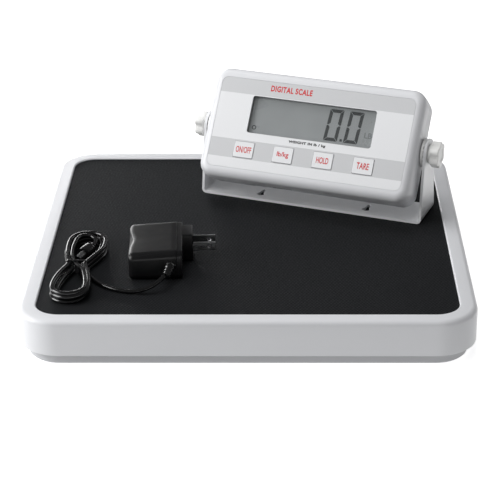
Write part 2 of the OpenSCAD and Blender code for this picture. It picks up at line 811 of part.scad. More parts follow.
top_cover();
anti_slip_mat();
deck_plate();
deck_channels();
base_tray();
junction_board();
platform_socket();
tray_screws();
for (i = [0:3]) {
    load_cell(i);
    cell_holder(i);
    foot(i);
    key(i);
}
bracket();
front_case();
rear_case();
overlay_panel();
display_window();
lcd_module();
main_board();
tact_switches();
buzzer();
dc_jack();
cable_jack();
case_screws();
battery_contacts();
battery_door();
for (s = SIDES) {
    pivot_insert(s);
    toothed_washer(s);
    knob_stud(s);
    tilt_knob(s);
}
adapter_shell();
adapter_cap();
adapter_blades();
adapter_board();
transformer();
strain_relief();
adapter_cord();
cord_hank();
cord_tie();
dc_plug();
dc_plug_barrel();
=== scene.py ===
import json
import math

import bmesh
import bpy
from mathutils import Matrix, Vector
from mathutils.geometry import tessellate_polygon


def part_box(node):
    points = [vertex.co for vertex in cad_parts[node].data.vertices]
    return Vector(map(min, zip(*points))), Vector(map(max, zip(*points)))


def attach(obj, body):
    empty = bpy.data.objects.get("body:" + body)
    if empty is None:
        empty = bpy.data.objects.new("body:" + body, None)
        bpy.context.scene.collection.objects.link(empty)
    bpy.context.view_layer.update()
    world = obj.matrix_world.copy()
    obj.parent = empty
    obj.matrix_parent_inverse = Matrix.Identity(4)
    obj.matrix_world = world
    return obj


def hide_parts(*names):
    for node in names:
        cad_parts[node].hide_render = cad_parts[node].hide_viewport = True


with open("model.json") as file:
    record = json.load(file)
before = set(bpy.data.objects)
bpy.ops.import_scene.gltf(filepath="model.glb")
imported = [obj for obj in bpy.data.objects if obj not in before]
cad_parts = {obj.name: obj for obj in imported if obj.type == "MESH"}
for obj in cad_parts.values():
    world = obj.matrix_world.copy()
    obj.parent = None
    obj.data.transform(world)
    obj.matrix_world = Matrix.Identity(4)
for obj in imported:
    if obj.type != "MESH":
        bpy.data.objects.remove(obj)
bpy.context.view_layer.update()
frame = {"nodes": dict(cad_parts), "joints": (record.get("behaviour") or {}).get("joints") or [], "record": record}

SLOT_OF = {part["node"]: part["material_slot"] for part in frame["record"]["subparts"]}
scene = bpy.context.scene
scene.view_settings.view_transform = "Standard"

# ---- Frames: matrices from millimetres in a sub-assembly's own axes to the row frame ----

MM = 0.001


def axes(origin, x, y):
    """Matrix from millimetres along x, y and their normal to the row frame."""
    z = x.cross(y)
    return Matrix([[x[i] * MM, y[i] * MM, z[i] * MM, origin[i]] for i in range(3)] + [[0, 0, 0, 1]])


tilt = next(j for j in frame["joints"] if j["name"] == "display_tilt")
mounts = {m["name"]: m for m in frame["record"]["mounts"]}
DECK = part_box("anti_slip_mat")[1].z
pivot = Vector(tilt["pos_m"])
across = Vector(tilt["axis"]).normalized()
up = Vector((0, 0, 1))
ROW = Matrix.Scale(MM, 4)
ON_DECK = Matrix.Translation((0, 0, DECK)) @ ROW
DISPLAY = axes(pivot, across, -Vector(mounts["display_socket"]["axis"]).normalized())
blade_axis = Vector(mounts["mains_blades"]["axis"]).normalized()
blade_root = Vector(mounts["mains_blades"]["pos_m"])
blade_side = up.cross(blade_axis)
# The blades' root in the adapter's own axes: along the blades, to their side and up
ROOT_AT = (26.5, 11.2, 11)
ADAPTER = axes(blade_root - (ROOT_AT[0] * blade_axis + ROOT_AT[1] * blade_side + ROOT_AT[2] * up) * MM,
               blade_axis, blade_side)
SIDES = {"right": DISPLAY, "left": DISPLAY @ Matrix.Diagonal((-1, 1, 1, 1))}

# ---- Camera: fitted to the photo's edges of the mat, the stand and the face ----

CAMERA_AT = (0.02413, -1.19555, 0.57789)
PAN, PITCH, ROLL = 0.0205, -0.437, 0.0094
camera = bpy.data.objects.new("camera", bpy.data.cameras.new("camera"))
scene.collection.objects.link(camera)
scene.camera = camera
camera.data.sensor_width = 36
camera.data.lens = 124.03
camera.matrix_world = (
    Matrix.Translation(CAMERA_AT) @ Matrix.Rotation(PAN, 4, "Z") @ Matrix.Rotation(PITCH, 4, "X")
    @ Matrix.Rotation(ROLL, 4, "Y") @ Matrix.Rotation(math.pi / 2, 4, "X")
)

# ---- Mesh helpers ----


def arc(cx, cz, r, a0, a1, n=8):
    """Points of a circle's arc, in degrees."""
    steps = [math.radians(a0 + (a1 - a0) * i / n) for i in range(n + 1)]
    return [(cx + r * math.cos(a), cz + r * math.sin(a)) for a in steps]


def loop(sx, sy, r, z, n=12, at=(0, 0)):
    """Closed ring round the corner centres of an sx by sy rectangle, at distance r."""
    ring = []
    for q, (x, y) in enumerate(((sx, sy), (-sx, sy), (-sx, -sy), (sx, -sy))):
        corner = arc(x / 2, y / 2, r, 90 * q, 90 * q + 90, n)
        ring += [(at[0] + px, at[1] + py, z) for px, py in corner]
    return ring


class Shape:
    """Gathers the faces of one piece, in millimetres."""

    def __init__(self):
        self.bm = bmesh.new()

    def loft(self, rings, caps=True, wrap=False, material=0):
        """Skin over rings of equally many points."""
        made = [[self.bm.verts.new(p) for p in ring] for ring in rings]
        if wrap:
            made.append(made[0])
        for a, b in zip(made, made[1:]):
            for i in range(len(a)):
                k = (i + 1) % len(a)
                self.bm.faces.new((a[i], a[k], b[k], b[i])).material_index = material
        if caps and not wrap:
            for ring in (made[0], made[-1]):
                self.bm.faces.new(ring).material_index = material
        return self

    def turned(self, profile, n=12, caps=True, at=(0, 0), material=0):
        """Round body from a profile of (radius, height)."""
        return self.loft([loop(0, 0, r, z, n, at) for r, z in profile], caps, material=material)

    def rounded(self, sx, sy, profile, n=8, caps=True, wrap=False, at=(0, 0), material=0):
        """Profile of (outward, up) carried round a rectangle of corner centres."""
        return self.loft([loop(sx, sy, r, z, n, at) for r, z in profile], caps, wrap, material)

    def flat(self, outlines, z, material=0):
        """Flat face with holes: the first outline is the outside."""
        rings = [[Vector((p[0], p[1], z)) for p in o] for o in outlines]
        points = [self.bm.verts.new(p) for ring in rings for p in ring]
        for tri in tessellate_polygon(rings):
            if len(set(tri)) == 3:
                self.bm.faces.new([points[i] for i in tri]).material_index = material

    def wall(self, outline, z0, z1, material=0):
        """Upright skin along an outline, between two heights."""
        self.loft([[(p[0], p[1], z) for p in outline] for z in (z0, z1)], False, material=material)

    def slab(self, outlines, z0, z1, material=0):
        """Plate with holes between two heights."""
        for z in (z0, z1):
            self.flat(outlines, z, material)
        for o in outlines:
            self.wall(o, z0, z1, material)

    def put(self, matrix):
        """Moves what is there so far."""
        bmesh.ops.transform(self.bm, matrix=matrix, verts=self.bm.verts)
        return self

    def add(self, other, matrix=Matrix.Identity(4)):
        """Joins another shape to this one."""
        other.put(matrix)
        mesh = bpy.data.meshes.new("joined")
        other.bm.to_mesh(mesh)
        self.bm.from_mesh(mesh)
        other.bm.free()
        bpy.data.meshes.remove(mesh)
        return self

    def piece(self, name, frame_matrix, materials, body=None, replaces=(), slot=None, smooth=35):
        """Ends as an object in the row frame, which rides on a body if one is named."""
        bm = self.bm
        bmesh.ops.transform(bm, matrix=frame_matrix, verts=bm.verts)
        bmesh.ops.remove_doubles(bm, verts=bm.verts, dist=2e-7)
        bmesh.ops.dissolve_degenerate(bm, edges=bm.edges, dist=1e-8)
        bmesh.ops.recalc_face_normals(bm, faces=bm.faces)
        mesh = bpy.data.meshes.new(name)
        bm.to_mesh(mesh)
        bm.free()
        obj = bpy.data.objects.new(name, mesh)
        scene.collection.objects.link(obj)
        for m in materials:
            mesh.materials.append(m)
        mesh.shade_smooth()
        mesh.set_sharp_from_angle(angle=math.radians(smooth))
        if body:
            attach(obj, body)
        if replaces:
            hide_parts(*replaces)
        return obj


PRINT_RISE = 0.06


def lettering(text, height, width, at, z, weight=0.2, spacing=1.0):
    """Thin printed letters of the built-in plain face, fitted to a height and width."""
    curve = bpy.data.curves.new("letters", "FONT")
    curve.body = text
    curve.size = 10
    curve.offset = weight
    curve.extrude = 0.5
    curve.resolution_u = 3
    curve.space_character = spacing
    holder = bpy.data.objects.new("letters", curve)
    scene.collection.objects.link(holder)
    bpy.context.view_layer.update()
    evaluated = holder.evaluated_get(bpy.context.evaluated_depsgraph_get())
    mesh = bpy.data.meshes.new_from_object(evaluated)
    bpy.data.objects.remove(holder)
    bpy.data.curves.remove(curve)
    shape = Shape()
    shape.bm.from_mesh(mesh)
    bpy.data.meshes.remove(mesh)
    low = [min(v.co[i] for v in shape.bm.verts) for i in range(2)]
    high = [max(v.co[i] for v in shape.bm.verts) for i in range(2)]
    scale = (width / (high[0] - low[0]), height / (high[1] - low[1]), PRINT_RISE)
    for v in shape.bm.verts:
        v.co = Vector((at[0] + (v.co.x - (low[0] + high[0]) / 2) * scale[0],
                       at[1] + (v.co.y - (low[1] + high[1]) / 2) * scale[1],
                       z + (v.co.z + 0.5) * scale[2]))
    return shape


def paint(shape, material):
    """Gives every face of a shape one of its piece's materials."""
    for f in shape.bm.faces:
        f.material_index = material
    return shape


# ---- Materials ----


def linear(value):
    """Linear value of a screen tone from 0 to 255."""
    v = value / 255
    return v / 12.92 if v <= 0.04045 else ((v + 0.055) / 1.055) ** 2.4


def tone(r, g=None, b=None):
    """Linear colour of screen tones: one for a grey, or three."""
    g, b = (r, r) if g is None else (g, b)
    return (linear(r), linear(g), linear(b))


class Finish:
    """A procedural material whose colour, gloss and relief all vary over the surface."""

    def __init__(self, name, colour, rough, vary=0.05, cloud=45, grain=2200, relief=0.03, **inputs):
        """Cloud and grain are the noise scales of the tone and of the relief."""
        self.material = bpy.data.materials.new(name)
        self.material.use_nodes = True
        self.tree = self.material.node_tree
        self.tree.nodes.clear()
        self.place = self.node("ShaderNodeTexCoord").outputs["Object"]
        self.shader = self.node("ShaderNodeBsdfPrincipled")
        out = self.node("ShaderNodeOutputMaterial")
        self.link(self.shader.outputs[0], out.inputs["Surface"])
        clouds = self.noise(cloud, 4)
        self.fine = self.noise(grain, 2)
        dark = [c * (1 - vary) for c in colour]
        light = [min(1, c * (1 + vary)) for c in colour]
        self.colour = self.mix(clouds, dark, light)
        self.link(self.colour, self.shader.inputs["Base Color"])
        self.link(self.span(self.noise(cloud * 3, 5), rough * 0.85, min(1, rough * 1.15)),
                  self.shader.inputs["Roughness"])
        self.bump(self.fine, relief)
        for key, value in inputs.items():
            self.shader.inputs[key.replace("_", " ")].default_value = value

    def node(self, kind, **values):
        """New node of a kind, with some of its properties set."""
        n = self.tree.nodes.new(kind)
        for key, value in values.items():
            setattr(n, key, value)
        return n

    def link(self, a, b):
        """Joins an output to an input."""
        self.tree.links.new(a, b)

    def noise(self, scale, detail, place=None):
        """Noise over the object's own coordinates, or over others."""
        n = self.node("ShaderNodeTexNoise")
        n.inputs["Scale"].default_value = scale
        n.inputs["Detail"].default_value = detail
        self.link(place or self.place, n.inputs["Vector"])
        return n.outputs["Fac"]

    def span(self, value, low, high, start=0.3, end=0.7):
        """Carries a value's range from start to end over to the range from low to high."""
        n = self.node("ShaderNodeMapRange")
        ends = {"From Min": start, "From Max": end, "To Min": low, "To Max": high}
        for key, number in ends.items():
            n.inputs[key].default_value = number
        self.link(value, n.inputs["Value"])
        return n.outputs[0]

    def mix(self, factor, a, b):
        """Blend of two colours, each fixed or from another node."""
        n = self.node("ShaderNodeMix", data_type="RGBA")
        self.link(factor, n.inputs[0])
        for socket, value in ((n.inputs[6], a), (n.inputs[7], b)):
            if isinstance(value, bpy.types.NodeSocket):
                self.link(value, socket)
            else:
                socket.default_value = (*value, 1)
        return n.outputs[2]

    def math(self, operation, a, b=None):
        """Arithmetic on one or two values, each fixed or from another node."""
        n = self.node("ShaderNodeMath", operation=operation)
        for socket, value in zip(n.inputs, (a, b)):
            if isinstance(value, bpy.types.NodeSocket):
                self.link(value, socket)
            elif value is not None:
                socket.default_value = value
        return n.outputs[0]

    def turned(self, scale, degrees=(0, 0, 0)):
        """Texture coordinates, scaled and turned."""
        n = self.node("ShaderNodeMapping", vector_type="POINT")
        n.inputs["Scale"].default_value = scale
        n.inputs["Rotation"].default_value = [math.radians(d) for d in degrees]
        self.link(self.place, n.inputs["Vector"])
        return n.outputs[0]

    def bump(self, height, strength, distance=0.0003):
        """Relief from a height, in place of the relief so far."""
        n = self.node("ShaderNodeBump")
        n.inputs["Strength"].default_value = strength
        n.inputs["Distance"].default_value = distance
        self.link(height, n.inputs["Height"])
        self.link(n.outputs[0], self.shader.inputs["Normal"])


def brushed(finish, scale, degrees=(0, 0, 0), strength=0.12):
    """Fine parallel scratches."""
    streaks = finish.noise(1, 3, finish.turned(scale, degrees))
    finish.bump(streaks, strength)
    finish.link(finish.span(streaks, 0.2, 0.42), finish.shader.inputs["Roughness"])
    return finish


def weave(finish, period, low, high):
    """Fine crossed diagonal ribs, as pressed into the mat, with painted shade in the grooves and a painted
    highlight on the crests.
    """
    k = 2 * math.pi / period
    parts = finish.node("ShaderNodeSeparateXYZ")
    finish.link(finish.turned((k, k, k), (0, 0, 45)), parts.inputs[0])
    waves = [finish.math("SINE", parts.outputs[i]) for i in range(2)]
    ribs = finish.math("ADD", *waves)
    # Painted shade and highlight: the colour runs from dark in the grooves to light on the crests
    colour = finish.mix(finish.span(ribs, 0, 1, -1.5, 1.5), low, high)
    finish.link(colour, finish.shader.inputs["Base Color"])
    height = finish.math("ADD", ribs, finish.math("MULTIPLY", finish.fine, 0.5))
    finish.bump(height, 0.35, 0.00012)
    return finish


def clear_film(name):
    """Clear plastic that lets light straight through, with a reflection on top."""
    f = Finish(name, tone(235), 0.08)
    out = f.tree.nodes["Material Output"]
    through = f.node("ShaderNodeBsdfTransparent")
    f.link(f.mix(f.noise(60, 2), tone(246), tone(252)), through.inputs["Color"])
    gloss = f.node("ShaderNodeBsdfGlossy")
    f.link(f.span(f.noise(90, 4), 0.06, 0.14), gloss.inputs["Roughness"])
    rim = f.node("ShaderNodeFresnel")
    rim.inputs["IOR"].default_value = 1.45
    both = f.node("ShaderNodeMixShader")
    # Only the outer side shines, because inside the film all slanting light would be thrown back
    outside = f.math("SUBTRACT", 1.0, f.node("ShaderNodeNewGeometry").outputs["Backfacing"])
    f.link(f.math("MULTIPLY", rim.outputs[0], outside), both.inputs[0])
    f.link(through.outputs[0], both.inputs[1])
    f.link(gloss.outputs[0], both.inputs[2])
    f.link(both.outputs[0], out.inputs["Surface"])
    return f


PRINT = {"vary": 0.004, "cloud": 20, "grain": 3000, "relief": 0.01}
FINISHES = {
    "white_plastic": Finish("white_plastic", tone(222, 223, 226), 0.36, 0.012,
                            Coat_Weight=0.1, Coat_Roughness=0.3),
    "tray_plastic": Finish("tray_plastic", tone(196, 197, 200), 0.45, 0.02),
    "rear_plastic": Finish("rear_plastic", tone(216, 217, 220), 0.42, 0.012, grain=1500, relief=0.06),
    # The mat's two rib tones are painted shade in the grooves and a painted highlight on the crests
    "mat_rubber": weave(Finish("mat_rubber", tone(40), 0.6, cloud=220, Specular_IOR_Level=0.1),
                        0.0017, tone(5, 6, 7), tone(45, 46, 48)),
    "foot_rubber": Finish("foot_rubber", tone(42), 0.75, 0.12, relief=0.1),
    "zinc_steel": Finish("zinc_steel", tone(186, 190, 194), 0.34, 0.1, 120, Metallic=0.9),
    "cell_steel": brushed(Finish("cell_steel", tone(196, 198, 202), 0.3, 0.06, Metallic=1),
                          (60, 1600, 60)),
    "holder_plastic": Finish("holder_plastic", tone(70, 72, 76), 0.5, 0.06),
    "stand_paint": Finish("stand_paint", tone(230, 231, 233), 0.34, 0.012, grain=900, relief=0.1),
    "overlay_film": Finish("overlay_film", tone(231, 232, 234), 0.36, **PRINT),
    "key_plastic": Finish("key_plastic", tone(232, 233, 235), 0.3, 0.01, grain=3000, relief=0.015),
    "window_clear": clear_film("window_clear"),
    "lcd_glass": Finish("lcd_glass", tone(162, 166, 167), 0.3, 0.03, 25, relief=0.008),
    "board_green": Finish("board_green", tone(28, 92, 58), 0.35, 0.15, 300, relief=0.06),
    "part_black": Finish("part_black", tone(22), 0.4, 0.1),
    "brass_insert": brushed(Finish("brass_insert", tone(196, 164, 96), 0.3, 0.05, Metallic=1),
                            (900, 60, 60)),
    "plated_metal": brushed(Finish("plated_metal", tone(172, 173, 174), 0.2, 0.04, Metallic=1),
                            (70, 1500, 1500), strength=0.04),
    "knob_plastic": Finish("knob_plastic", tone(243, 243, 241), 0.35, 0.015, grain=1600, relief=0.05),
    "adapter_black": Finish("adapter_black", tone(19, 19, 20), 0.33, 0.06, 40, 1300, 0.015,
                            Specular_IOR_Level=0.4),
    "cord_black": Finish("cord_black", tone(13, 13, 14), 0.22, 0.12, 120, 1500, 0.02,
                         Coat_Weight=0.7, Coat_Roughness=0.16),
    "winding": Finish("winding", tone(176, 118, 52), 0.4, 0.2, 500, Metallic=0.5),
}
MATERIALS = {slot: f.material for slot, f in FINISHES.items()}
GREY_PRINT = Finish("grey_print", tone(204, 205, 207), 0.36, **PRINT).material
RED_PRINT = Finish("red_print", tone(205, 44, 50), 0.35, 0.05, 400, relief=0.01).material
BLACK_PRINT = Finish("black_print", tone(26), 0.4, 0.1, 400, relief=0.01).material
SEGMENT = Finish("lcd_segment", tone(78, 81, 82), 0.3, 0.03, 200, relief=0.01).material
FAINT_SEGMENT = Finish("lcd_faint_segment", tone(128, 132, 133), 0.3, 0.03, 200,
                       relief=0.01).material

# ---- Cord, its tie and its plug ----

CORD_D = 3.2
LOW = CORD_D / 2
LEAD = [(-59.4, -101.2, 9.7), (-61.5, -104.2, 8.4), (-65, -107, 6.5), (-70, -109.3, 4.3),
        (-76, -110.2, 2.6), (-83, -109.6, LOW), (-90, -107.6, LOW), (-97.5, -104, LOW),
        (-104, -98.8, LOW), (-109, -92.8, LOW), (-113, -86, LOW), (-116, -80.5, LOW)]
WAIST = Vector((-124, -76.5))
TOP_END = Vector((-119.6, -36))
LOW_END = Vector((-125, -113.5))
PLUG_BACK = Vector((-115.6, -40))
PLUG_FRONT = Vector((-121.4, -54.5))
PLUG_WAY = (PLUG_FRONT - PLUG_BACK).normalized()
PLUG_Z = 5
TURNS = 5
TURN_STEPS = 96
# Where each turn lies: radius at the folds and offset at the waist, then height above the mat
OUTER, INNER = (12.9, 5.0), (9.7, 1.8)
MID, TOP = LOW + CORD_D, LOW + 2 * CORD_D
LANES = [(*OUTER, LOW), (*INNER, LOW), (*INNER, MID), (*OUTER, MID), (*OUTER, TOP), (*INNER, TOP)]
# How far the second turn swings in and the fourth swings out, to clear the turn below
SWING = {1: -1.0, 3: 0.6}
# Shares of a turn where it meets the upper fold, leaves it, passes the waist, and so on below
FOLD_IN, FOLD_OUT, PAST_WAIST, LOW_FOLD_IN, LOW_FOLD_OUT = 0.14, 0.3, 0.44, 0.64, 0.8


def smooth_step(x):
    """Eases from 0 to 1 as x does."""
    x = min(1, max(0, x))
    return x * x * (3 - 2 * x)


def lane_at(t):
    """Lane of the running turn, which moves over to the next one round the lower fold."""
    turn = min(int(t), TURNS - 1)
    u = smooth_step((t - turn - 0.66) / 0.2)
    a, b = LANES[turn], LANES[turn + 1]
    end, waist, height = (a[i] + (b[i] - a[i]) * u for i in range(3))
    swing = SWING.get(turn, 0) * math.sin(math.pi * u)
    return end + swing, waist + swing, height


def hank_point(t):
    """Point of the wound cord after t turns, from the waist's right-hand side and up."""
    s = t % 1
    end, waist, height = lane_at(t)
    # Small waves, so that the turns don't lie in step
    sway = 0.35 * math.sin(9.1 * t + 1.3) + 0.25 * math.sin(23.7 * t)
    upper = (TOP_END - WAIST).normalized()
    lower = (LOW_END - WAIST).normalized()
    upper_out = Vector((upper.y, -upper.x))
    lower_out = Vector((-lower.y, lower.x))
    if s < FOLD_IN or FOLD_OUT <= s < PAST_WAIST:
        right = s < FOLD_IN
        f = s / FOLD_IN if right else 1 - (s - FOLD_OUT) / (PAST_WAIST - FOLD_OUT)
        way = (waist + (end - waist) * (1 - (1 - f) ** 2.2)) + sway * f
        if right:
            # Room for the plug, which lies inside the upper loop
            way += 1.4 * math.exp(-(((f - 0.68) / 0.2) ** 2))
        p = WAIST + (TOP_END - WAIST) * f + upper_out * (way if right else -way)
    elif s < FOLD_OUT:
        a = math.atan2(upper_out.y, upper_out.x) + math.pi * (s - FOLD_IN) / (FOLD_OUT - FOLD_IN)
        p = TOP_END + (end + sway) * Vector((math.cos(a), math.sin(a)))
    elif s < LOW_FOLD_IN or s >= LOW_FOLD_OUT:
        right = s >= LOW_FOLD_OUT
        f = (1 - s) / (1 - LOW_FOLD_OUT)
        if not right:
            f = (s - PAST_WAIST) / (LOW_FOLD_IN - PAST_WAIST)
        way = (waist + (end - waist) * (1 - (1 - f) ** 2.1)) + sway * f
        p = WAIST + (LOW_END - WAIST) * f + lower_out * (way if right else -way)
    else:
        share = (s - LOW_FOLD_IN) / (LOW_FOLD_OUT - LOW_FOLD_IN)
        a = math.atan2(-lower_out.y, -lower_out.x) + math.pi * share
        p = LOW_END + (end + sway) * Vector((math.cos(a), math.sin(a)))
    return Vector((p.x, p.y, height))


def cord_line():
    """The cord's middle from the strain relief, round the hank and into the plug."""
    line = [Vector(p) for p in LEAD]
    line += [hank_point(k / TURN_STEPS) for k in range(1, TURNS * TURN_STEPS - 2)]
    # The last turn crosses the waist on top, goes up the left and over into the plug's back
    across_top = ((-123.9, -78, TOP), (-126.7, -72, TOP + 0.1), (-128.5, -64, TOP + 0.1),
                  (-129.3, -55, TOP), (-129.3, -46, TOP), (-128.6, -39, TOP))
    line += [Vector(p) for p in across_top]
    steps = 12
    for k, (x, y) in enumerate(arc(-121.0, -34.0, 7.2, 180, -22, steps)):
        line.append(Vector((x, y, TOP - 2.2 * smooth_step((k - 5) / (steps - 5)))))
    for back, rise in ((3.5, 0.3), (1.5, 0.05), (0, 0), (-3, 0)):
        line.append(Vector((*(PLUG_BACK - PLUG_WAY * back), PLUG_Z + rise)))
    return line


def evened(points, step, parts=6):
    """The same line with points at even distances, by way of a smooth curve through them."""
    fine = []
    for i in range(len(points) - 1):
        near = range(i - 1, i + 3)
        a, b, c, d = (points[min(max(k, 0), len(points) - 1)] for k in near)
        for k in range(parts):
            u = k / parts
            fine.append(0.5 * (2 * b + (c - a) * u + (2 * a - 5 * b + 4 * c - d) * u * u
                               + (3 * b - a - 3 * c + d) * u ** 3))
    fine.append(points[-1])
    out, carry = [fine[0]], 0.0
    for a, b in zip(fine, fine[1:]):
        gap = (b - a).length
        while gap > 1e-9 and carry + gap >= step:
            a = a + (b - a) * ((step - carry) / gap)
            out.append(a)
            gap, carry = (b - a).length, 0.0
        carry += gap
    return out[:-1] + [points[-1]]


def eased(points, rounds):
    """Takes sharp turns out of a line, and leaves its ends where they are."""
    for _ in range(rounds):
        middle = [points[i] + 0.25 * (points[i - 1] + points[i + 1] - 2 * points[i])
                  for i in range(3, len(points) - 3)]
        points = points[:3] + middle + points[-3:]
    return points


def cord_curve(name, points, diameter, matrix, body, replaces, slot):
    """Round cord along a line."""
    curve = bpy.data.curves.new(name, "CURVE")
    curve.dimensions = "3D"
    curve.bevel_depth = diameter / 2 * MM
    curve.bevel_resolution = 5
    curve.use_fill_caps = True
    spline = curve.splines.new("POLY")
    spline.points.add(len(points) - 1)
    for q, p in zip(spline.points, points):
        q.co = (*(matrix @ p), 1)
    spline.use_smooth = True
    curve.materials.append(MATERIALS[slot])
    obj = bpy.data.objects.new(name, curve)
    scene.collection.objects.link(obj)
    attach(obj, body)
    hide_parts(*replaces)
    return obj


line = eased(evened(cord_line(), 1.2), 14)
cord = cord_curve("adapter_cord_whole", line, CORD_D, ON_DECK, "adapter",
                  ["adapter_cord", "cord_hank"], "cord_black")

# Plug: sleeve with ribs, grip and a step, along its own +Z
plug_turn = up.rotation_difference(Vector((*PLUG_WAY, 0))).to_matrix().to_4x4()
plug_frame = ON_DECK @ Matrix.Translation((*PLUG_BACK, PLUG_Z)) @ plug_turn
sleeve = [(1.62, 0.6), (2.3, 0.2), (2.9, 0.6)]
for z in (1.4, 2.8):
    sleeve += [(2.95, z), (2.6, z + 0.25), (2.6, z + 0.65), (3.1, z + 0.9)]
sleeve += [(3.9, 4.6), (4.75, 5.3), (4.95, 6.0)]
for z in (7.2, 9.4):
    sleeve += [(4.95, z), (4.6, z + 0.3), (4.6, z + 0.7), (4.95, z + 1.0)]
sleeve += [(4.95, 14.6), (4.6, 15.3), (3.6, 15.6), (1.6, 15.6)]
plug = Shape().turned(sleeve).piece(
    "dc_plug_sleeve", plug_frame, [MATERIALS["cord_black"]], "adapter", ["dc_plug"], "cord_black")
TIP_EDGE, INSIDE, ROOT = (1.95, 24.8), (0.9, 14.8), (1.2, 12.6)
barrel = Shape()
barrel.turned([ROOT, (2.7, 12.6), (2.7, 24.2), (2.55, 24.8), (2.25, 25.0), TIP_EDGE], caps=False)
barrel.turned([TIP_EDGE, (1.5, 24.8), (1.25, 24.5), (1.25, 15.2), INSIDE], caps=False, material=1)
barrel.turned([ROOT, INSIDE], caps=False)
barrel = barrel.piece("dc_plug_tip", plug_frame, [MATERIALS["plated_metal"], MATERIALS["part_black"]],
                      "adapter", ["dc_plug_barrel"], "plated_metal")

# Half of a strap's width and thickness, at the corners of its cross-section
STRAP = ((-1, -0.4), (-0.85, -1), (0.85, -1), (1, -0.4), (1, 0.4), (0.85, 1), (-0.85, 1), (-1, 0.4))


def strap_ring(p, ahead, way, half_width, half_thick):
    """Cross-section of a strap at a point."""
    out = ahead.cross(way).normalized()
    return [p + way * (a * half_width) + out * (b * half_thick) for a, b in STRAP]


def ribbon(points, way, width, thick):
    """Flat strap along points, its width along a fixed direction."""
    rings = []
    for i, p in enumerate(points):
        ahead = (points[min(i + 1, len(points) - 1)] - points[max(i - 1, 0)]).normalized()
        rings.append(strap_ring(p, ahead, way, width / 2, thick / 2))
    return Shape().loft(rings)


# Tie: a band pressed round the waist whose two ends are twisted together and lie to the left
BAND_X, BAND_HIGH, BAND_LOW, BAND_R = 6.1, 9.0, 1.2, 1.1
band = []
band_corners = ((BAND_X, BAND_HIGH), (-BAND_X, BAND_HIGH), (-BAND_X, BAND_LOW), (BAND_X, BAND_LOW))
for q, (x, z) in enumerate(band_corners):
    band += [Vector((px, 0, pz)) for px, pz in arc(x, z, BAND_R, 90 * q, 90 * q + 90, 5)]
rings = []
for i, p in enumerate(band):
    ahead = (band[(i + 1) % len(band)] - band[i - 1]).normalized()
    rings.append(strap_ring(p, ahead, Vector((0, 1, 0)), 1.1, 0.3))
tie = Shape().loft(rings, wrap=True)
TWISTS, TWIST_STEPS, PART_AT = 4, 70, 0.4
for side in (0, 1):
    twisted = []
    for k in range(TWIST_STEPS + 1 - 22 * side):
        f = k / TWIST_STEPS
        a = 2 * math.pi * TWISTS * f + math.pi * side
        apart = max(0, f - PART_AT)
        reach = Vector((-7.4 - 4.0 * f + 10 * apart * side, 1.5 + 15 * f, 7.0 + 3.2 * math.sin(2.4 * f)))
        spread = 0.9 * math.exp(-3 * apart)
        twisted.append(reach + Vector((spread * math.cos(a), 0, spread * math.sin(a))))
    tie.add(ribbon(twisted, Vector((0.35, 0.1, 0.93)).normalized(), 1.6, 0.6))
tie_turn = Matrix.Rotation(math.radians(-4), 4, "Z")
tie_frame = ON_DECK @ Matrix.Translation((WAIST.x, WAIST.y + 1, 0)) @ tie_turn
tie = tie.piece("cord_twist_tie", tie_frame, [MATERIALS["cord_black"]], "adapter", ["cord_tie"],
                "cord_black")

# Strain relief: a sleeve with three soft ribs that narrows to the cord
ribs = [(2.6, -1.4), (4.0, -1.4), (4.0, 0.5), (3.75, 1.0), (3.0, 1.3)]
for k in range(3):
    z, r, waist = 3.0 + 3.4 * k, 3.6 - 0.3 * k, 2.75 - 0.22 * k
    ribs.append((waist, z - 0.5))
    for a in (20, 50, 90, 130, 160):
        c, d = math.cos(math.radians(a)), math.sin(math.radians(a))
        ribs.append((r - 0.45 + 0.45 * d, z + 0.75 - 0.75 * c))
    ribs.append((waist, z + 2.0))
ribs += [(2.2, 12.4), (2.05, 12.9), (1.62, 13.0)]
# It leaves the housing's side, turned by 13 degrees and tipped down by 7
RELIEF_AT = (10.5, -28.75, 11.2)
relief_frame = (ADAPTER @ Matrix.Translation(RELIEF_AT) @ Matrix.Rotation(math.radians(-13), 4, "Z")
                @ Matrix.Rotation(math.radians(90 + 7), 4, "X"))
relief = Shape().turned(ribs).piece(
    "strain_relief_sleeve", relief_frame, [MATERIALS["cord_black"]], "adapter", ["strain_relief"],
    "cord_black")

# ---- Display unit: overlay, window's display, keys ----

FACE_Z = 21.1
OVERLAY, OVERLAY_R = (157.5, 71.3), 4.85
WINDOW_AT, WINDOW = (-0.5, 8.3), (100.8, 29.4)
KEY_Y, KEY_SIZE, KEY_GAP = -20.6, (16, 12.5), 0.3
# Each key's place along its row, its legend and the legend's width
KEYS = {"key_on_off": (-50.1, "ON/OFF", 12.6), "key_unit": (-17.75, "lb/kg", 9.6),
        "key_hold": (14.6, "HOLD", 9.8), "key_tare": (47, "TARE", 9.8)}


def frame_of(w, h, r, at=(0, 0), n=6):
    """Outline of a w by h rectangle with rounded corners."""
    return [p[:2] for p in loop(w - 2 * r, h - 2 * r, r, 0, n, at)]


window_hole = frame_of(WINDOW[0] + 0.2, WINDOW[1] + 0.2, 2.0, WINDOW_AT)
key_opening = [side + 2 * KEY_GAP for side in KEY_SIZE]
key_holes = [frame_of(*key_opening, 1.0, (x, KEY_Y)) for x, *_ in KEYS.values()]

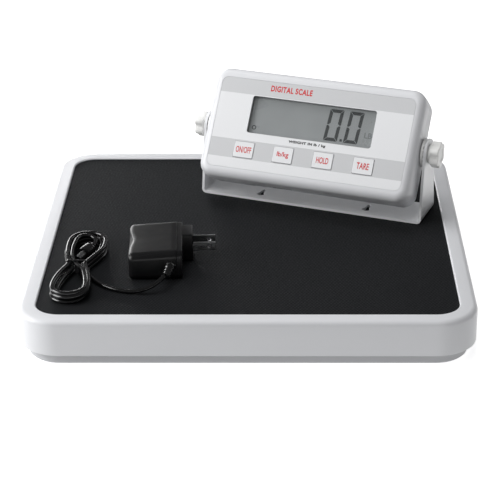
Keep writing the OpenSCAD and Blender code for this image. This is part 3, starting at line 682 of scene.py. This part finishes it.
# The film's face is in four bands, two of them printed grey
FILM_LOW, FILM_TOP, PRINT_Z = FACE_Z - 0.45, FACE_Z - 0.02, FACE_Z - 0.04
KEYS_LOW, KEYS_HIGH, TITLE_LOW = BANDS = (-27.8, -12.95, 23.6)
FILM, GREY, RED, BLACK = range(4)
half_w, half_h = OVERLAY[0] / 2, OVERLAY[1] / 2
corner_x, corner_y = half_w - OVERLAY_R, half_h - OVERLAY_R
low_corners = (arc(-corner_x, -corner_y, OVERLAY_R, 180, 270, 6)
               + arc(corner_x, -corner_y, OVERLAY_R, 270, 360, 6))
high_corners = (arc(corner_x, corner_y, OVERLAY_R, 0, 90, 6)
                + arc(-corner_x, corner_y, OVERLAY_R, 90, 180, 6))


def film_band(low, high):
    """Outline of a band that runs from edge to edge of the film."""
    return [(-half_w, low), (half_w, low), (half_w, high), (-half_w, high)]


overlay = Shape()
for z in (FILM_LOW, FILM_TOP):
    overlay.flat([low_corners + [(half_w, KEYS_LOW), (-half_w, KEYS_LOW)]], z, FILM)
    overlay.flat([film_band(KEYS_LOW, KEYS_HIGH), *key_holes], z, GREY)
    overlay.flat([film_band(KEYS_HIGH, TITLE_LOW), window_hole], z, FILM)
    overlay.flat([[(-half_w, TITLE_LOW), (half_w, TITLE_LOW)] + high_corners], z, GREY)
right_side = [(half_w, y) for y in BANDS]
left_side = [(-half_w, y) for y in reversed(BANDS)]
for outline in (low_corners + right_side + high_corners + left_side, window_hole, *key_holes):
    overlay.wall(outline, FILM_LOW, FILM_TOP, FILM)
title = lettering("DIGITAL SCALE", 4.8, 34, (-20.8, 30.4), PRINT_Z, 0.32, spacing=1.12)
units_line = lettering("WEIGHT IN lb / kg", 2.6, 30, (-0.4, -9.5), PRINT_Z, 0.45, spacing=1.08)
overlay.add(paint(title, RED))
overlay.add(paint(units_line, BLACK))
overlay.piece("face_film", DISPLAY, [MATERIALS["overlay_film"], GREY_PRINT, RED_PRINT, BLACK_PRINT],
              "display_unit", ["overlay_panel"], "overlay_film")

# Display: glass block, slanted seven-segment digits, a point, a faint unit and a small ring
LCD_TOP = FACE_Z - 3.6
MARK_LOW, MARK_TOP = LCD_TOP - 0.01, LCD_TOP + 0.05
GLASS, DARK, STRIP, FAINT = range(4)
RING_AT = (-46.8, -1.2)


def digit(at, width=11.2, height=25, thick=2.6, slant=0.065, gap=0.24):
    """Seven-segment nought: all but the middle bar."""
    w, h = width / 2, height / 2
    in_w, in_h = w - thick, h - thick
    bars = []
    for s in (1, -1):
        bars.append([(-w + gap, s * h), (w - gap, s * h), (in_w - gap, s * in_h), (-in_w + gap, s * in_h)])
        for q in (1, -1):
            bars.append([(s * w, q * (h - gap)), (s * w, q * (gap + 0.2)), (s * (w - thick / 2), q * gap),
                         (s * in_w, q * (thick / 2 + gap)), (s * in_w, q * (in_h - gap))])
    shape = Shape()
    for bar in bars:
        outline = [(at[0] + x + slant * (y + h), at[1] + y) for x, y in bar]
        shape.slab([outline], MARK_LOW, MARK_TOP)
    return shape


lcd = Shape()
glass_edge = [(1, LCD_TOP - 4), (1, LCD_TOP - 0.3), (0.7, LCD_TOP)]
lcd.rounded(WINDOW[0] + 2, WINDOW[1] + 2, glass_edge, 4, at=WINDOW_AT, material=GLASS)
# Rubber contact strips between the glass and the board
for y in (-15, 15):
    strip = frame_of(100, 2, 0.3, (WINDOW_AT[0], WINDOW_AT[1] + y), 2)
    lcd.slab([strip], 6.0, LCD_TOP - 3.9, STRIP)
for x in (16.0, 32.2):
    lcd.add(paint(digit((x, 8.6)), DARK))
lcd.add(paint(lettering("LB", 4.4, 6.0, (45.4, 3.8), MARK_LOW), FAINT))
marks = Shape()
marks.slab([frame_of(1.9, 1.9, 0.3, (24.6, -2.4), 2)], MARK_LOW, MARK_TOP)
marks.slab([frame_of(2 * r, 2 * r, r, RING_AT) for r in (1.8, 1.1)], MARK_LOW, MARK_TOP)
lcd.add(paint(marks, DARK))
lcd.piece("lcd_display", DISPLAY,
          [MATERIALS["lcd_glass"], SEGMENT, MATERIALS["part_black"], FAINT_SEGMENT],
          "display_unit", ["lcd_module"], "lcd_glass")

# Keys: a cap with a soft edge over a flange, and a stem down to its switch
KEY_TOP = FACE_Z + 0.45
KEY_R, KEY_EDGE, FLANGE = 0.8, 0.35, 2.05
soft_edge = [(KEY_R - KEY_EDGE + a, b) for a, b in arc(0, KEY_TOP - KEY_EDGE, KEY_EDGE, 15, 90, 4)]
key_side = [(FLANGE, 17.2), (FLANGE, 18.6), (KEY_R, 18.6), (KEY_R, KEY_TOP - KEY_EDGE)]
key_profile = key_side + soft_edge + [(0.2, KEY_TOP)]
for node, (x, text, width) in KEYS.items():
    key = Shape()
    key.rounded(KEY_SIZE[0] - 2 * KEY_R, KEY_SIZE[1] - 2 * KEY_R, key_profile, 5, at=(x, KEY_Y))
    key.turned([(2.5, 10.9), (2.5, 17.4)], 6, at=(x, KEY_Y))
    key.add(paint(lettering(text, 5.0, width, (x - 0.1, KEY_Y), KEY_TOP - 0.02, 0.16), 1))
    key.piece(node + "_cap", DISPLAY, [MATERIALS["key_plastic"], RED_PRINT], node, [node], "key_plastic")

# ---- Knobs: six soft lobes, a flat end and a groove at the neck ----

KNOB_POINTS = 144


def lobed(inset, x, base=8.4, lobe_at=7.4, lobe_r=3.1):
    """Ring at x with six round lobes on a round base, all drawn in by the inset."""
    ring = []
    for k in range(KNOB_POINTS):
        a = 2 * math.pi * k / KNOB_POINTS
        off = (a + math.pi / 6) % (math.pi / 3) - math.pi / 6
        reach = lobe_r ** 2 - (lobe_at * math.sin(off)) ** 2
        out = lobe_at * math.cos(off) + math.sqrt(reach) if reach > 0 else 0
        # The high power blends the lobes softly into the base
        soft = (base ** 14 + max(out, 1) ** 14) ** (1 / 14)
        r = min(soft, lobe_at + lobe_r + 0.15) - inset
        ring.append((x, r * math.sin(a), r * math.cos(a)))
    return ring


def round_x(r, x):
    """Round ring at x, with as many points as a lobed one."""
    turns = [2 * math.pi * k / KNOB_POINTS for k in range(KNOB_POINTS)]
    return [(x, r * math.sin(a), r * math.cos(a)) for a in turns]


NECK = 90.9
KNOB_END, KNOB_EDGE = NECK + 9.0, 0.8
for side, matrix in SIDES.items():
    rings = [round_x(r, NECK + x) for r, x in ((3.0, 4), (3.0, 0), (7.1, 0), (7.5, 0.4), (7.5, 1.9))]
    rings += [lobed(inset, NECK + x) for inset, x in ((1.2, 2.0), (0.45, 2.25), (0.1, 2.7))]
    for a in (0, 25, 50, 70, 90):
        c, s = math.cos(math.radians(a)), math.sin(math.radians(a))
        rings.append(lobed(0.1 + KNOB_EDGE * (1 - c), KNOB_END - KNOB_EDGE * (1 - s)))
    rings += [lobed(1.6, KNOB_END), round_x(5.2, KNOB_END)]
    rings += [round_x(5.0, KNOB_END - 0.3), round_x(0.8, KNOB_END - 0.3)]
    Shape().loft(rings).piece("tilt_knob_grip_" + side, matrix, [MATERIALS["knob_plastic"]],
                              "knob_" + side, ["tilt_knob_" + side], "knob_plastic", 40)

# ---- Adapter: housing with a waved far side, the cap that carries the blade block ----

HALF_WIDE, CORNER_R = 28.75, 4.6


def section(x, half, low, high, r):
    """Rounded cross-section of the housing at x."""
    return [(x, y, z) for y, z in frame_of(2 * half, high - low, r, (0, (low + high) / 2))]


def wave(p):
    """Draws the far side in at its middle, and out towards its back."""
    x, y, z = p
    share = max(0, (15 - x) / 34) ** 1.6
    v = y / HALF_WIDE
    hollow = 1.9 * math.exp(-((v - 0.05) / 0.36) ** 2)
    swell = 0.4 * math.exp(-((v - 0.75) / 0.25) ** 2)
    return (x + share * (hollow - swell), y, z)


def top_at(x):
    """Height of the housing's top, which slopes down to its far side."""
    return 22 - 2 * (19 - x) / 38


def refined(points, parts):
    """Adds points along the straight stretches of a ring."""
    out = []
    for a, b in zip(points, points[1:] + points[:1]):
        steps = max(1, round((Vector(b) - Vector(a)).length / parts))
        out += [tuple(Vector(a).lerp(Vector(b), k / steps)) for k in range(steps)]
    return out


def resample(ring, n):
    """The ring with n points spread by the angle they are seen at."""
    cy = sum(p[1] for p in ring) / len(ring)
    cz = sum(p[2] for p in ring) / len(ring)
    half_y = max(abs(p[1] - cy) for p in ring)
    half_z = max(abs(p[2] - cz) for p in ring)
    table = sorted((math.atan2((p[2] - cz) / half_z, (p[1] - cy) / half_y), p) for p in ring)
    out = []
    for k in range(n):
        a = -math.pi + 2 * math.pi * (k + 0.5) / n
        after = next((i for i, (b, _) in enumerate(table) if b > a), 0)
        a0, p0 = table[after - 1]
        a1, p1 = table[after]
        gap = (a1 - a0) % (2 * math.pi)
        f = ((a - a0) % (2 * math.pi)) / gap if gap > 1e-9 else 0
        out.append(tuple(Vector(p0).lerp(Vector(p1), f)))
    return out


# From the rounded far side to the seam with the cap
rings = []
for a in (90, 75, 60, 45, 30, 15, 0):
    c, s = math.cos(math.radians(a)), math.sin(math.radians(a))
    x = -19.7 + 4 - 4 * s
    pull, rise = 4 - 4 * c, 2.6 - 2.6 * c
    rings.append(section(x, HALF_WIDE - pull, rise, top_at(x) - rise, max(CORNER_R - rise, 0.6)))
rings += [section(x, HALF_WIDE, 0, top_at(x), CORNER_R) for x in (-8, -2, 4, 10, 14.7)]
rings.append(section(14.9, HALF_WIDE - 0.1, 0.1, top_at(14.9) - 0.1, CORNER_R - 0.1))
shell = Shape().loft([[wave(p) for p in resample(refined(ring, 2.5), 200)] for ring in rings])
shell.piece("adapter_housing", ADAPTER, [MATERIALS["adapter_black"]], "adapter", ["adapter_shell"],
            "adapter_black", 30)

cap = Shape()
cap.loft([section(15.0, 28.3, 0.3, top_at(15) - 0.45, 4.2),
          section(15.15, 28.4, 0.25, top_at(15) - 0.35, 4.25),
          section(18.2, 28.35, 0.25, top_at(18) - 0.4, 4.2),
          section(18.8, 28.05, 0.55, top_at(19) - 0.7, 3.9),
          section(19.0, 27.5, 1.1, top_at(19) - 1.25, 3.3)])
# The blade block stands on the cap, in the same piece
BLOCK = (19.5, 21)
rings = []
for x, inset in ((16.5, 0), (25.6, 0), (26.2, 0.2), (ROOT_AT[0], 0.7)):
    size = [side - 2 * inset for side in BLOCK]
    rings.append([(x, y, z) for y, z in frame_of(*size, max(1.6 - inset, 0.2), ROOT_AT[1:])])
cap.loft(rings)
cap.piece("adapter_front", ADAPTER, [MATERIALS["adapter_black"]], "adapter", ["adapter_cap"],
          "adapter_black", 30)

# ---- CAD nodes: each gets its material, and those still shown get soft edges ----

SOFT_EDGE = {"top_cover": 0.35, "base_tray": 0.3, "anti_slip_mat": 0.12, "bracket": 0.35,
             "front_case": 0.25, "rear_case": 0.25, "battery_door": 0.2, "adapter_blades": 0.2,
             "platform_socket": 0.15, "cable_jack": 0.15, "dc_jack": 0.15,
             "toothed_washer_left": 0.12, "toothed_washer_right": 0.12}
for name, obj in frame["nodes"].items():
    obj.data.materials.clear()
    obj.data.materials.append(MATERIALS[SLOT_OF[name]])
    if obj.hide_render:
        continue
    if "custom_normal" in obj.data.attributes:
        obj.data.attributes.remove(obj.data.attributes["custom_normal"])
    obj.modifiers.new("weld", "WELD").merge_threshold = 1e-6
    if name in SOFT_EDGE:
        flat = obj.modifiers.new("planar", "DECIMATE")
        flat.decimate_type = "DISSOLVE"
        flat.angle_limit = math.radians(0.4)
        bevel = obj.modifiers.new("soft_edge", "BEVEL")
        bevel.width = SOFT_EDGE[name] * MM
        bevel.segments = 3
        bevel.limit_method = "ANGLE"
        bevel.angle_limit = math.radians(40)
        bevel.harden_normals = True
    obj.data.shade_smooth()
    obj.modifiers.new("sharp", "EDGE_SPLIT").split_angle = math.radians(36)

# ---- Floor and light ----


def stage_plane(name, size, z, grey, rough, relief, glow):
    """Wide glowing plane of the set, at a height in millimetres. It rides on no body."""
    finish = Finish(name, tone(grey), rough, 0.002, 3, 300, relief,
                    Emission_Color=(1, 1, 1, 1), Emission_Strength=glow)
    plane = Shape()
    plane.flat([frame_of(size, size, 500)], z)
    obj = plane.piece(name, ROW, [finish.material])
    return obj


floor = stage_plane("floor", 40000, 0, 252, 0.6, 0.01, 0.74)
floor.visible_diffuse = False

# Just below the floor, for diffuse light alone: what a white table throws back up
card = stage_plane("bounce_card", 3000, -1, 0, 1, 0, 0.68)
card.visible_camera = False
card.visible_glossy = False
card.visible_shadow = False

world = bpy.data.worlds.new("studio")
scene.world = world
world.use_nodes = True
background = world.node_tree.nodes["Background"]
background.inputs["Color"].default_value = (1, 1, 1, 1)
background.inputs["Strength"].default_value = 0.1


def softbox(name, at, aim, size, watts):
    """Rectangular light at a place in metres, turned towards its aim."""
    light = bpy.data.lights.new(name, "AREA")
    light.shape = "RECTANGLE"
    light.size, light.size_y = size
    light.energy = watts
    obj = bpy.data.objects.new(name, light)
    scene.collection.objects.link(obj)
    obj.location = at
    obj.rotation_euler = (Vector(aim) - Vector(at)).to_track_quat("-Z", "Y").to_euler()
    return obj


AIM = (0, 0, 0.05)
softbox("left", (-1.2, -0.2, 0.5), AIM, (0.9, 0.8), 13.5)
softbox("rear", (-0.75, 1.5, 0.24), AIM, (1.0, 0.34), 5)
softbox("top", (-0.2, 0.35, 1.6), AIM, (0.9, 0.9), 12.5).visible_glossy = False
softbox("fill", (-0.5, -1.0, 1.7), AIM, (1.2, 1.2), 9.5).visible_glossy = False
